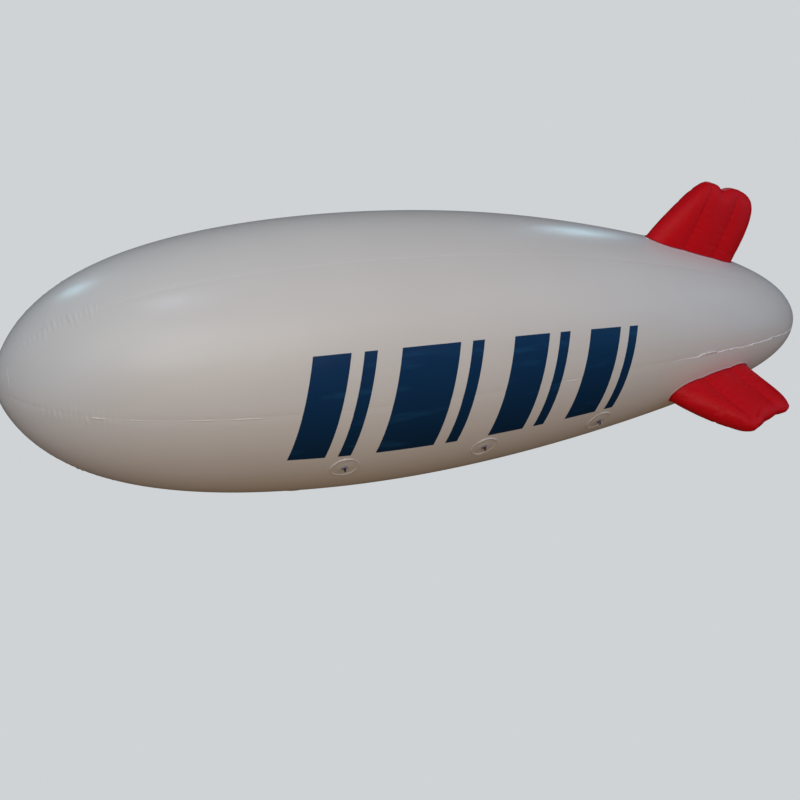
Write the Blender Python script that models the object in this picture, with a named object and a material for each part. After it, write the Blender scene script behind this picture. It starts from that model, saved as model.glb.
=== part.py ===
"""Advertising blimp balloon: a helium hull of six welded gores with three inflated tail fins.

Metres, +Z up. The nose points to -X and the tail to +X. The origin is the centre of lift,
on the straight axis of the hull. Angles round the hull are in degrees, from -Y towards +Z.
"""
import math

import bpy
from mathutils import Matrix, Vector

# Hull, driving dimensions
HULL_LENGTH = 5.0
LIFT_FROM_NOSE = 2.275
WALL = 0.010
GAP = 0.0003

# Radius over length = share^NOSE_POWER * (1 - share)^TAIL_POWER * a blend of the fullness values
NOSE_POWER = 0.6
TAIL_POWER = 0.5
FULLNESS = (0.543, 0.293, 0.380, 0.221, 0.269)  # nose, shoulder, middle, waist, tail

# The weight of the fins pulls the rear half down along a parabola
TAIL_DROOP = 0.083
DROOP_STARTS = 0.5

# Six gores, one every 60 degrees, closed by a round cap at each end
GORE_ANGLE = 60.0
GORE_STEPS = 8
HULL_STATIONS = 36
NOSE_CAP_ENDS = 0.0115
TAIL_CAP_STARTS = 0.9855
CAP_RINGS = 3
GORES = (  # name, angle of its first seam
    ("gore_left_upper", 0.0),
    ("gore_top", 60.0),
    ("gore_right_upper", 120.0),
    ("gore_right_lower", 180.0),
    ("gore_bottom", 240.0),
    ("gore_left_lower", 300.0),
)

# Fins, set near the middle lines of three gores; the tips of the lower two lean upwards
FINS = (  # name, angle round the hull, sideways lean of its tip, pull of its rear seam, notch
    ("fin_top", 90.0, 0.0, 0.0, 0.045),
    ("fin_right", 209.2, -0.097, 0.052, 0.012),
    ("fin_left", 330.8, 0.097, 0.052, 0.012),
)
LEAN_STARTS = 0.17
LEAN_CURVE = 1.4
# The four rails of a fin's lobes, from inside the hull to the corner beyond the tip
FIN_RAILS = (  # distance from nose and from axis at the root, then at the tip
    (3.765, 0.500, 4.125, 0.920),
    (4.000, 0.440, 4.205, 0.905),
    (4.225, 0.380, 4.415, 0.860),
    (4.420, 0.330, 4.615, 0.785),
)
FIN_LOBES = ("front_lobe", "middle_lobe", "rear_lobe")
FIN_HALF_THICKNESS = 0.104
FIN_TIP_THINNING = 0.18
FIN_CREASE = 0.10
CREASE_CURVE = 2.6
FIN_EDGE_ROUND = 2.2
FIN_CORNER_ROUND = 3.4
FIN_TIP_ROUND = 3.0
NOTCH_HALF = 0.16
OUTER_STEPS = (0.002, 0.03, 0.10, 0.22, 0.40, 0.62, 0.82, 1.0)
MIDDLE_STEPS = (0.0, 0.18, 0.38, 0.50, 0.62, 0.82, 1.0)
SPAN_STEPS = (0.0, 0.17, 0.38, 0.60, 0.78, 0.90, 0.97)

# Root band, the welded hem round each fin
BAND_WIDTH = 0.016
BAND_CLEAR = 0.0025
BAND_HEIGHT = 0.004
BAND_DEPTH = 0.012
ROOT_PASSES = 8

# Tether patches and their moulded eyes, on the two lower gores beside the keel
PATCH_SIDES = (("left", 330.0, -1.0), ("right", 210.0, 1.0))  # name, angle, way to the keel
PATCH_ROWS = (  # name, distance from nose, angle towards the keel
    ("front", 1.686, 0.0),
    ("middle", 2.508, 0.0),
    ("rear", 3.284, 1.6),
)
PATCH_RADIUS = 0.082
PATCH_HEIGHT = 0.003
EYE_BASE_RADIUS = 0.015
EYE_BASE_TOP = 0.008
EYE_LOOP_RADIUS = 0.009
EYE_LOOP_WIRE = 0.0026
EYE_LOOP_RISE = 0.008
ROUND_SIDES = 24

# Inflation valve, under the hull
VALVE_FROM_NOSE = 3.100
VALVE_ANGLE = 270.0
VALVE_FLANGE = (0.060, 0.003)  # radius, height
VALVE_COLLAR = (0.034, 0.016)
VALVE_CAP = (0.027, 0.012)


def radius_at(share):
    """The hull's radius at a share of its length behind the nose."""
    order = len(FULLNESS) - 1
    blend = sum(
        full * math.comb(order, i) * share ** i * (1 - share) ** (order - i)
        for i, full in enumerate(FULLNESS)
    )
    return HULL_LENGTH * share ** NOSE_POWER * (1 - share) ** TAIL_POWER * blend


def droop_at(share):
    """How far the hull's axis hangs below its straight line there."""
    behind = max(share - DROOP_STARTS, 0) / (1 - DROOP_STARTS)
    return -TAIL_DROOP * behind ** 2


def spoke(angle):
    """The unit vector that points out from the axis at an angle round the hull."""
    turn = math.radians(angle)
    return Vector((0, -math.cos(turn), math.sin(turn)))


def axis_point(from_nose):
    """The point of the hull's axis at a distance from the nose."""
    return Vector((from_nose - LIFT_FROM_NOSE, 0, droop_at(from_nose / HULL_LENGTH)))


def profile_normal(share):
    """The lengthwise and outward parts of the hull's surface normal."""
    step = 0.0005
    before, after = max(share - step, 1e-6), min(share + step, 1 - 1e-6)
    slope = (radius_at(after) - radius_at(before)) / ((after - before) * HULL_LENGTH)
    size = math.hypot(slope, 1)
    return -slope / size, 1 / size


def hull_point(share, angle, lift=0.0):
    """The point at a share of the length and an angle, lifted off the surface."""
    along, out = profile_normal(share)
    start = axis_point(share * HULL_LENGTH + along * lift)
    return start + spoke(angle) * (radius_at(share) + out * lift)


def hull_frame(from_nose, angle):
    """A placement on the hull: its Z is the outward normal and its X runs along the hull."""
    share = from_nose / HULL_LENGTH
    step = 0.001
    point = hull_point(share, angle)
    along = (hull_point(share + step, angle) - hull_point(share - step, angle)).normalized()
    around = (hull_point(share, angle + 1) - hull_point(share, angle - 1)).normalized()
    normal = around.cross(along).normalized()
    if normal.dot(spoke(angle)) < 0:
        normal.negate()
    side = normal.cross(along)
    columns = Matrix((along, side, normal)).transposed()
    return Matrix.Translation(point) @ columns.to_4x4()


def hull_shares(first, last):
    """Shares of the length between two ends, closer together near the nose and tail."""
    start = math.acos(1 - 2 * first)
    end = math.acos(1 - 2 * last)
    count = HULL_STATIONS
    return [(1 - math.cos(start + (end - start) * i / count)) / 2 for i in range(count + 1)]


def material(name, colour, roughness, metallic=0.0):
    """A plain Principled material."""
    made = bpy.data.materials.new(name)
    made.use_nodes = True
    shader = made.node_tree.nodes["Principled BSDF"]
    shader.inputs["Base Color"].default_value = (*colour, 1)
    shader.inputs["Roughness"].default_value = roughness
    shader.inputs["Metallic"].default_value = metallic
    return made


def new_object(name, mesh, collection, finish=None):
    """Link a mesh as a named object."""
    made = bpy.data.objects.new(name, mesh)
    collection.objects.link(made)
    if finish:
        mesh.materials.append(finish)
    return made


def skin(name, rings, start_pole=None, end_pole=None):
    """A closed mesh through rings of equal count, ended by poles or by flat faces."""
    count = len(rings[0])
    points = [point for ring in rings for point in ring]
    faces = []
    for row in range(len(rings) - 1):
        for i in range(count):
            j = (i + 1) % count
            faces.append((row * count + i, row * count + j,
                          (row + 1) * count + j, (row + 1) * count + i))
    last = (len(rings) - 1) * count
    if start_pole is None:
        faces.append(tuple(range(count - 1, -1, -1)))
    else:
        points.append(start_pole)
        pole = len(points) - 1
        faces += [((i + 1) % count, i, pole) for i in range(count)]
    if end_pole is None:
        faces.append(tuple(last + i for i in range(count)))
    else:
        points.append(end_pole)
        pole = len(points) - 1
        faces += [(last + i, last + (i + 1) % count, pole) for i in range(count)]
    return solid_mesh(name, points, faces)


def solid_mesh(name, points, faces):
    """A mesh from points and faces, turned so that its volume is positive."""
    mesh = bpy.data.meshes.new(name)
    mesh.from_pydata([tuple(point) for point in points], [], faces)
    volume = 0.0
    for polygon in mesh.polygons:
        corners = [mesh.vertices[i].co for i in polygon.vertices]
        for second, third in zip(corners[1:-1], corners[2:]):
            volume += corners[0].dot(second.cross(third))
    if volume < 0:
        mesh.flip_normals()
    mesh.update()
    return mesh


def smooth(target, sharp_degrees=35):
    """Shade a round piece smooth and keep its sharp edges."""
    target.data.shade_smooth()
    target.data.set_sharp_from_angle(angle=math.radians(sharp_degrees))


def cut(target, cutter, operation="DIFFERENCE"):
    """Add an exact Boolean to a piece."""
    boolean = target.modifiers.new(operation.lower(), "BOOLEAN")
    boolean.operation = operation
    boolean.object = cutter
    boolean.solver = "EXACT"


def hull_form(name, lift, guides):
    """The whole hull as one filled form, lifted off its surface, to cut pieces with."""
    sides = int(360 / GORE_ANGLE) * GORE_STEPS
    shares = hull_shares(NOSE_CAP_ENDS, TAIL_CAP_STARTS)
    rings = [
        [hull_point(share, 360 * i / sides, lift) for i in range(sides)] for share in shares
    ]
    nose = axis_point(-lift)
    tail = axis_point(HULL_LENGTH + lift)
    form = new_object(name, skin(name, rings, nose, tail), guides)
    form.hide_render = True
    form.display_type = "WIRE"
    return form


def gore(name, first_seam, film, parts):
    """One gore: a strip of the hull between two seams, as thick as the wall."""
    walls = (0.0, -WALL)
    shares = hull_shares(NOSE_CAP_ENDS, TAIL_CAP_STARTS)
    cells = {}
    points = []
    for row, share in enumerate(shares):
        for layer, lift in enumerate(walls):
            margin = math.degrees(GAP / 2 / (radius_at(share) + lift))
            width = GORE_ANGLE - 2 * margin
            for i in range(GORE_STEPS + 1):
                angle = first_seam + margin + width * i / GORE_STEPS
                cells[row, i, layer] = len(points)
                points.append(hull_point(share, angle, lift))
    faces = []
    rows = len(shares) - 1
    for row in range(rows):
        for i in range(GORE_STEPS):
            for layer in (0, 1):
                corners = [cells[row, i, layer], cells[row, i + 1, layer],
                           cells[row + 1, i + 1, layer], cells[row + 1, i, layer]]
                faces.append(corners[::-1] if layer == 0 else corners)
        for i in (0, GORE_STEPS):
            corners = [cells[row, i, 0], cells[row + 1, i, 0],
                       cells[row + 1, i, 1], cells[row, i, 1]]
            faces.append(corners[::-1] if i == 0 else corners)
    for i in range(GORE_STEPS):
        for row in (0, rows):
            corners = [cells[row, i, 0], cells[row, i, 1],
                       cells[row, i + 1, 1], cells[row, i + 1, 0]]
            faces.append(corners[::-1] if row == 0 else corners)
    piece = new_object(name, solid_mesh(name, points, faces), parts, film)
    smooth(piece)
    return piece


def end_cap(name, edge_share, end_share, film, parts):
    """The round cap where the gore tips meet: a shallow bowl as thick as the wall."""
    sides = int(360 / GORE_ANGLE) * GORE_STEPS
    inward = 1 if end_share > edge_share else -1
    edge = edge_share + inward * GAP / HULL_LENGTH
    steps = [(i + 1) / (CAP_RINGS + 1) for i in range(CAP_RINGS)]
    shares = [edge] + [end_share + (edge - end_share) * (1 - step) ** 2 for step in steps]
    rings = []
    for lift, order in ((-WALL, shares[::-1]), (0.0, shares)):
        for share in order:
            deep = lift if share == edge else lift * 0.98
            rings.append([hull_point(share, 360 * i / sides, deep) for i in range(sides)])
    tip = end_share * HULL_LENGTH
    inner_pole = axis_point(tip - inward * WALL * 1.6)
    mesh = skin(name, rings, inner_pole, axis_point(tip))
    piece = new_object(name, mesh, parts, film)
    smooth(piece)
    return piece


def fin_half_thickness(lobe, across):
    """Half the fin's thickness at a share of the way across a lobe."""
    if lobe == 1:
        return FIN_HALF_THICKNESS * (1 - FIN_CREASE * abs(2 * across - 1) ** CREASE_CURVE)
    from_edge = across if lobe == 0 else 1 - across
    rounded = (1 - (1 - from_edge) ** FIN_EDGE_ROUND) ** (1 / FIN_EDGE_ROUND)
    return FIN_HALF_THICKNESS * rounded * (1 - FIN_CREASE * from_edge ** CREASE_CURVE)


def fin_reach(lobe, across, notch):
    """How far along its rails a lobe reaches before its tip, from 0 to 1."""
    if lobe == 1:
        return 1 - notch * math.exp(-((across - 0.5) / NOTCH_HALF) ** 2)
    from_edge = across if lobe == 0 else 1 - across
    return (1 - (1 - from_edge) ** FIN_CORNER_ROUND) ** (1 / FIN_CORNER_ROUND)


def lobe_steps(lobe):
    """Where a lobe's sections stand, as shares of the way from its front rail to its rear one."""
    if lobe == 1:
        return MIDDLE_STEPS
    return OUTER_STEPS if lobe == 0 else tuple(1 - step for step in OUTER_STEPS[::-1])


def fin_rails(pull):
    """A fin's four rails, with the tip of its rear seam pulled in towards the hull."""
    rails = [list(rail) for rail in FIN_RAILS]
    rails[2][3] -= pull
    return rails


def fin_place(rails, lobe, across, share, notch):
    """Distance from the nose, height and half thickness at a share of the way along the rails."""
    front, rear = rails[lobe], rails[lobe + 1]
    rail = [f + (r - f) * across for f, r in zip(front, rear)]
    from_nose = rail[0] + (rail[2] - rail[0]) * share
    height = rail[1] + (rail[3] - rail[1]) * share
    step = min(share / fin_reach(lobe, across, notch), 1)
    rounded = (1 - step ** FIN_TIP_ROUND) ** (1 / FIN_TIP_ROUND)
    half = fin_half_thickness(lobe, across) * (1 - FIN_TIP_THINNING * share) * rounded
    return from_nose, height, half


def fin_section(rails, lobe, across, angle, lean, notch, inset):
    """A closed ring across one lobe, from inside the hull over its tip and back."""
    out = spoke(angle)
    normal = spoke(angle + 90)
    near_side, far_side = [], []
    for step in SPAN_STEPS + (1.0,):
        share = step * fin_reach(lobe, across, notch)
        from_nose, height, half = fin_place(rails, lobe, across, share, notch)
        leaning = (max(share - LEAN_STARTS, 0) / (1 - LEAN_STARTS)) ** LEAN_CURVE
        centre = axis_point(from_nose + inset) + out * height + normal * lean * leaning
        near_side.append(centre + normal * half)
        if step < 1.0:
            far_side.append(centre - normal * half)
    return near_side + far_side[::-1]


def fin_lobe(name, rails, lobe, angle, lean, notch, hull_cutter, cloth, parts):
    """One inflated chamber of a fin, trimmed to sit on the hull."""
    rings = []
    for across in lobe_steps(lobe):
        at_front_seam = lobe > 0 and across == 0.0
        at_rear_seam = lobe < 2 and across == 1.0
        inset = GAP if at_front_seam else 0.0
        inset = -GAP if at_rear_seam else inset
        rings.append(fin_section(rails, lobe, across, angle, lean, notch, inset))
    piece = new_object(name, skin(name, rings), parts, cloth)
    cut(piece, hull_cutter)
    smooth(piece)
    return piece


def root_outline(rails, notch, margin):
    """The outline of a fin where it meets the hull, moved outwards by a margin.

    Each point is a distance from the nose and a distance across the fin.
    """
    side = []
    for lobe in range(len(FIN_LOBES)):
        for across in lobe_steps(lobe)[1 if lobe else 0:]:
            foot, tip = (fin_place(rails, lobe, across, end, notch)[1] for end in (0, 1))
            share = 0.0
            for _ in range(ROOT_PASSES):
                from_nose, height, half = fin_place(rails, lobe, across, share, notch)
                surface = math.sqrt(radius_at(from_nose / HULL_LENGTH) ** 2 - half ** 2)
                share += (surface - height) / (tip - foot)
            side.append(Vector((from_nose, half)))
    loop = side + [Vector((point.x, -point.y)) for point in reversed(side)]
    outline = []
    for i, point in enumerate(loop):
        run = (loop[(i + 1) % len(loop)] - loop[i - 1]).normalized()
        outline.append(point + Vector((-run.y, run.x)) * margin)
    return outline


def root_band(name, rails, angle, notch, hull_cutter, cloth, parts):
    """The hem round a fin's root, a flat strip that follows the hull."""
    corners = ((BAND_CLEAR, -BAND_DEPTH), (BAND_WIDTH, -BAND_DEPTH),
               (BAND_WIDTH, BAND_HEIGHT), (BAND_CLEAR, BAND_HEIGHT))  # margin, height
    out = spoke(angle)
    normal = spoke(angle + 90)
    edges = []
    for margin, height in corners:
        edge = []
        for from_nose, across in root_outline(rails, notch, margin):
            surface = radius_at(from_nose / HULL_LENGTH) + height
            rise = math.sqrt(surface ** 2 - across ** 2)
            edge.append(axis_point(from_nose) + out * rise + normal * across)
        edges.append(edge)
    count = len(edges[0])
    points = [point for edge in edges for point in edge]
    faces = []
    for j in range(4):
        k = (j + 1) % 4
        for i in range(count):
            following = (i + 1) % count
            faces.append((j * count + i, k * count + i, k * count + following, j * count + following))
    piece = new_object(name, solid_mesh(name, points, faces), parts, cloth)
    cut(piece, hull_cutter)
    return piece


def disc_mesh(name, radius, low, high, sides=ROUND_SIDES):
    """A round disc between two heights on its own Z axis."""
    bpy.ops.mesh.primitive_cylinder_add(vertices=sides, radius=radius, depth=high - low)
    made = bpy.context.object
    mesh = made.data
    mesh.name = name
    mesh.transform(Matrix.Translation((0, 0, (high + low) / 2)))
    bpy.data.objects.remove(made)
    return mesh


def seated_disc(name, radius, height, placement, cutter, finish, parts):
    """A disc whose underside is trimmed to what it sits on."""
    piece = new_object(name, disc_mesh(name, radius, -0.02, height), parts, finish)
    piece.matrix_world = placement
    cut(piece, cutter)
    return piece


def tether_eye(name, placement, patch_cutter, plastic, parts, guides):
    """A moulded eye: a round foot with a wire loop that stands across the hull."""
    eye = seated_disc(name, EYE_BASE_RADIUS, EYE_BASE_TOP, placement, patch_cutter, plastic, parts)
    bpy.ops.mesh.primitive_torus_add(
        major_radius=EYE_LOOP_RADIUS, minor_radius=EYE_LOOP_WIRE,
        major_segments=20, minor_segments=8, rotation=(0, math.pi / 2, 0),
        location=(0, 0, EYE_BASE_TOP + EYE_LOOP_RISE))
    loop = bpy.context.object
    bpy.ops.object.transform_apply(location=True, rotation=True, scale=True)
    loop.name = name + "_loop_form"
    for collection in loop.users_collection:
        collection.objects.unlink(loop)
    guides.objects.link(loop)
    loop.matrix_world = placement
    loop.hide_render = True
    loop.display_type = "WIRE"
    cut(eye, loop, "UNION")
    return eye


def main():
    for old in list(bpy.data.objects):
        bpy.data.objects.remove(old)
    parts = bpy.data.collections.new("advertising_blimp")
    guides = bpy.data.collections.new("cutters")
    for collection in (parts, guides):
        bpy.context.scene.collection.children.link(collection)

    film = material("hull_film", (0.72, 0.71, 0.69), 0.35)
    cloth = material("fin_cloth", (0.50, 0.006, 0.012), 0.50)
    patch_film = material("patch_film", (0.78, 0.78, 0.77), 0.25)
    eye_plastic = material("eye_plastic", (0.10, 0.13, 0.17), 0.35)
    valve_plastic = material("valve_plastic", (0.60, 0.60, 0.60), 0.40)

    for name, first_seam in GORES:
        gore(name, first_seam, film, parts)
    end_cap("nose_cap", NOSE_CAP_ENDS, 0.0, film, parts)
    end_cap("tail_cap", TAIL_CAP_STARTS, 1.0, film, parts)

    on_hull = hull_form("hull_cutter", GAP, guides)
    on_patch = hull_form("patch_cutter", PATCH_HEIGHT + 2 * GAP, guides)
    patch_top = hull_form("patch_top_form", PATCH_HEIGHT + GAP, guides)

    for fin, angle, lean, pull, notch in FINS:
        rails = fin_rails(pull)
        for lobe, lobe_name in enumerate(FIN_LOBES):
            fin_lobe(f"{fin}_{lobe_name}", rails, lobe, angle, lean, notch, on_hull, cloth, parts)
        root_band(f"{fin}_root_band", rails, angle, notch, on_hull, cloth, parts)

    for side, middle, to_keel in PATCH_SIDES:
        for row, from_nose, off in PATCH_ROWS:
            placement = hull_frame(from_nose, middle + to_keel * off)
            patch = new_object(f"tether_patch_{side}_{row}", disc_mesh(
                "patch", PATCH_RADIUS, -0.03, 0.03), parts, patch_film)
            patch.matrix_world = placement
            cut(patch, patch_top, "INTERSECT")
            cut(patch, on_hull)
            tether_eye(f"tether_eye_{side}_{row}", placement, on_patch, eye_plastic, parts, guides)

    placement = hull_frame(VALVE_FROM_NOSE, VALVE_ANGLE)
    flange_top = VALVE_FLANGE[1]
    collar_top = flange_top + VALVE_COLLAR[1]
    cap_top = collar_top + VALVE_CAP[1]
    seated_disc("valve_flange", VALVE_FLANGE[0], flange_top, placement, on_hull, patch_film, parts)
    collar = new_object("valve_collar", disc_mesh(
        "collar", VALVE_COLLAR[0], flange_top + GAP, collar_top), parts, valve_plastic)
    collar.matrix_world = placement
    cap = new_object("valve_cap", disc_mesh(
        "cap", VALVE_CAP[0], collar_top + GAP, cap_top), parts, valve_plastic)
    cap.matrix_world = placement


main()
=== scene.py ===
"""The looks of the advertising blimp: white film hull, red cloth fins, moulded tether eyes."""
import math

import bpy
import numpy as np
from mathutils import Euler, Matrix, Vector


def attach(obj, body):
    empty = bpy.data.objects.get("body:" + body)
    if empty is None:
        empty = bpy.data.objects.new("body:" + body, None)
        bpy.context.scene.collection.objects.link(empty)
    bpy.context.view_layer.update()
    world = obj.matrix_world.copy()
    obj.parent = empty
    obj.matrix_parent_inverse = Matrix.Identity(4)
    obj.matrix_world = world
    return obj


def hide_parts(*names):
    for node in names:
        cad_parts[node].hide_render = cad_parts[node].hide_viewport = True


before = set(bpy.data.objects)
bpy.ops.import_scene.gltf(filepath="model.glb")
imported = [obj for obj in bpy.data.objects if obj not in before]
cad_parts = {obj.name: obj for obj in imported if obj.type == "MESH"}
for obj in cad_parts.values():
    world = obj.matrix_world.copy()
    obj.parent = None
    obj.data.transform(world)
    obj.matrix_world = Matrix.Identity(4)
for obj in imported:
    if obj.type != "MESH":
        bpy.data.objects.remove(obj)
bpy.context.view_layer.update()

# Camera: it stands by the balloon's nose, on its left side, and looks down along the hull.
# The place and the three angles put the hull's outline, fins and patches where the photo has them.
CAMERA_PLACE = (-2.548, -5.855, 2.689)
CAMERA_YAW = -22.963
CAMERA_DOWN = 24.833
CAMERA_ROLL = 3.735
FOCAL_PIXELS = 1196.6
PICTURE_SIDE = 800
AXIS_PIXEL = (392.0, 384.0)
SENSOR_WIDTH = 36.0

camera_data = bpy.data.cameras.new("camera")
camera = bpy.data.objects.new("camera", camera_data)
bpy.context.scene.collection.objects.link(camera)
camera_data.sensor_width = SENSOR_WIDTH
camera_data.lens = SENSOR_WIDTH * FOCAL_PIXELS / PICTURE_SIDE
camera_data.shift_x = (PICTURE_SIDE / 2 - AXIS_PIXEL[0]) / PICTURE_SIDE
camera_data.shift_y = (AXIS_PIXEL[1] - PICTURE_SIDE / 2) / PICTURE_SIDE
camera_turn = Euler((math.radians(90 - CAMERA_DOWN), 0, math.radians(CAMERA_YAW)))
camera.rotation_euler = (
    camera_turn.to_matrix() @ Matrix.Rotation(math.radians(CAMERA_ROLL), 3, "Z")
).to_euler()
camera.location = CAMERA_PLACE
bpy.context.scene.camera = camera

# Floor and light: a plain pale floor far below with plain walls of the same tone, broad soft
# lights on the camera's side, cooler towards nose and tail, three small cool windows for the
# gloss spots on the film, and one wide light behind for the far side.
FLOOR_DROP = 12.0
FLOOR_REACH = 300.0
WALLS_AWAY = 45.0
FLOOR_COLOUR = (0.624, 0.651, 0.672)
LIGHT_DISTANCE = 8.0
LIGHT_AIM = (0.2, 0.0, 0.0)
PANEL_WIDTH, PANEL_HEIGHT = 5.5, 4.5
LIGHTS = (  # name, angle from the left side towards the tail, height angle, RGB watts
    ("low_nose", -70, 12, (0, 14, 34)),
    ("low_middle", -25, 12, (27, 11, 0)),
    ("low_tail", 65, 12, (7, 26, 45)),
    ("key_nose", -50, 36, (63, 77, 78)),
    ("key_middle", -20, 36, (111, 109, 100)),
    ("fill_middle", 10, 36, (18, 6, 0)),
    ("fill_rear", 40, 36, (29, 29, 34)),
    ("fill_tail", 70, 36, (13, 24, 34)),
    ("high_middle", -15, 62, (17, 20, 23)),
)
WINDOWS = (  # name, spot of the film that mirrors it, way there, width, height, RGB watts
    ("window_nose", (-1.85, -0.08, 0.51), (-0.337, 0.796, 0.504), 0.4, 1.4, (22, 38, 45)),
    ("window_tail", (0.92, -0.13, 0.66), (0.619, 0.698, 0.360), 1.0, 0.7, (13, 21, 25)),
    ("window_roof", (-1.44, -0.40, 0.52), (-0.215, -0.100, 0.971), 1.5, 0.6, (31, 35, 45)),
)
BEHIND_DISTANCE, BEHIND_SIDE, BEHIND_WATTS = 16.0, 4.0, (380, 405, 425)
FROM_BELOW, FROM_ABOVE = (0.240, 0.155, 0.081), (0.223, 0.207, 0.215)
MIX_FIRST, MIX_SECOND, MIX_RESULT = 6, 7, 2  # a Mix node's colour sockets

bpy.context.scene.view_settings.view_transform = "Standard"
world = bpy.data.worlds.new("room")
bpy.context.scene.world = world
world.use_nodes = True
world.cycles_visibility.glossy = False
room_way = world.node_tree.nodes.new("ShaderNodeTexCoord")
upward = world.node_tree.nodes.new("ShaderNodeSeparateXYZ")
share_above = world.node_tree.nodes.new("ShaderNodeMapRange")
share_above.inputs["From Min"].default_value = -1.0
room_light = world.node_tree.nodes.new("ShaderNodeMix")
room_light.data_type = "RGBA"
room_light.inputs[MIX_FIRST].default_value = (*FROM_BELOW, 1)
room_light.inputs[MIX_SECOND].default_value = (*FROM_ABOVE, 1)
for source, target in (
        (room_way.outputs["Generated"], upward.inputs[0]),
        (upward.outputs["Z"], share_above.inputs["Value"]),
        (share_above.outputs[0], room_light.inputs[0]),
        (room_light.outputs[MIX_RESULT],
         world.node_tree.nodes["Background"].inputs["Color"])):
    world.node_tree.links.new(source, target)

floor_finish = bpy.data.materials.new("floor_pale")
floor_finish.use_nodes = True
floor_shader = floor_finish.node_tree.nodes["Principled BSDF"]
floor_shader.inputs["Base Color"].default_value = (0, 0, 0, 1)
floor_shader.inputs["Roughness"].default_value = 1
floor_shader.inputs["Specular IOR Level"].default_value = 0
floor_shader.inputs["Emission Color"].default_value = (*FLOOR_COLOUR, 1)
floor_shader.inputs["Emission Strength"].default_value = 1
floor_finish.cycles.emission_sampling = "NONE"
CORNERS = ((-1, -1), (1, -1), (1, 1), (-1, 1))


def stage_piece(name, points, faces):
    """A plain surface round the object, whose even tone lights nothing."""
    mesh = bpy.data.meshes.new(name)
    mesh.from_pydata(points, [], faces)
    mesh.materials.append(floor_finish)
    piece = bpy.data.objects.new(name, mesh)
    bpy.context.scene.collection.objects.link(piece)
    piece.visible_diffuse = False
    piece.visible_glossy = False
    return piece


stage_piece("floor", [(x * FLOOR_REACH, y * FLOOR_REACH, -FLOOR_DROP) for x, y in CORNERS],
            [(0, 1, 2, 3)])
walls = stage_piece(
    "walls",
    [(x * WALLS_AWAY, y * WALLS_AWAY, z) for z in (-FLOOR_DROP, WALLS_AWAY) for x, y in CORNERS],
    [(1, 0, 4, 5), (2, 1, 5, 6), (3, 2, 6, 7), (0, 3, 7, 4), (5, 4, 7, 6)])
walls.visible_shadow = False


def add_light(name, place, aim, width, height, watts):
    """A rectangular area light whose colour and strength are its watts of red, green and blue."""
    lamp = bpy.data.lights.new(name, "AREA")
    lamp.shape = "RECTANGLE"
    lamp.size, lamp.size_y = width, height
    lamp.energy = max(watts)
    lamp.color = [part / max(watts) for part in watts]
    light = bpy.data.objects.new(name, lamp)
    bpy.context.scene.collection.objects.link(light)
    light.location = place
    light.rotation_euler = (Vector(aim) - Vector(place)).to_track_quat("-Z", "Y").to_euler()


for name, turn, rise, watts in LIGHTS:
    turn, rise = math.radians(turn), math.radians(rise)
    away = Vector((
        math.cos(rise) * math.sin(turn), -math.cos(rise) * math.cos(turn), math.sin(rise)))
    add_light(name, Vector(LIGHT_AIM) + LIGHT_DISTANCE * away, LIGHT_AIM,
              PANEL_WIDTH, PANEL_HEIGHT, watts)
for name, spot, way, width, height, watts in WINDOWS:
    add_light(name, Vector(spot) + LIGHT_DISTANCE * Vector(way), spot, width, height, watts)
behind = (Vector(LIGHT_AIM) - Vector(CAMERA_PLACE)).normalized()
add_light("behind", Vector(LIGHT_AIM) + BEHIND_DISTANCE * behind, LIGHT_AIM,
          BEHIND_SIDE, BEHIND_SIDE, BEHIND_WATTS)

# Hull: six gores of thin white film, welded edge to edge, blown tight with gas.
# Its form is a turned profile whose rear half droops; each gore is one closed sheet, with
# a shallow valley along its welds and small puckers across them where the hull closes in.
HULL_LENGTH = 5.0
LIFT_FROM_NOSE = 2.275
NOSE_POWER, TAIL_POWER = 0.6, 0.5
FULLNESS = (0.543, 0.293, 0.380, 0.221, 0.269)
TAIL_DROOP, DROOP_STARTS = 0.083, 0.5
GORE_ANGLE = 60.0
CAP_EDGES = (0.0115, 0.9855)
FILM = 0.002
SEAM_GAP = 0.0003
SLOPE_STEP, HULL_END = 0.0005, 1e-6
VALLEY_DEPTH, VALLEY_WIDTH = 0.0012, 0.014
PUCKERS = (  # first and last share of the length, greatest height
    (0.022, 0.125, 0.0050),
    (0.84, 0.975, 0.0016),
)
PUCKER_SEED, PUCKER_PITCH, PUCKER_REACH = 100, 0.025, 0.06
PUCKER_HALF_WIDTH, PUCKER_HALF_LENGTH = 0.0065, 0.030
PUCKER_HEIGHTS, PUCKER_LENGTHS = (0.35, 1.0), (0.6, 1.2)  # least and greatest share
PUCKER_SHIFT, PUCKER_ASIDE, PUCKER_SLANT = 0.2, 0.012, 0.2
GORE_ROW_STOPS, GORE_ROW_COUNTS = (0.15, 0.82), (200, 110, 200)
GORE_COLUMN_COUNT, GORE_COLUMN_CROWDING = 14, 1.8
FILM_COLOUR = (0.72, 0.715, 0.70)
FILM_TONES = ((0.70, 0.695, 0.685), (0.75, 0.745, 0.735))
GORES = (  # node, angle of its first seam
    ("gore_left_upper", 0.0),
    ("gore_top", 60.0),
    ("gore_right_upper", 120.0),
    ("gore_right_lower", 180.0),
    ("gore_bottom", 240.0),
    ("gore_left_lower", 300.0),
)
SMOOTH_ANGLE = math.radians(40)


def hull_radius(share):
    """Length times share^NOSE_POWER, (1 - share)^TAIL_POWER and a Bernstein blend of FULLNESS."""
    order = len(FULLNESS) - 1
    blend = sum(full * math.comb(order, i) * share ** i * (1 - share) ** (order - i)
                for i, full in enumerate(FULLNESS))
    return HULL_LENGTH * share ** NOSE_POWER * (1 - share) ** TAIL_POWER * blend


def axis_height(share):
    """The drooping axis: a parabola that starts at the middle of the hull."""
    behind = np.maximum(share - DROOP_STARTS, 0) / (1 - DROOP_STARTS)
    return -TAIL_DROOP * behind ** 2


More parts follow.
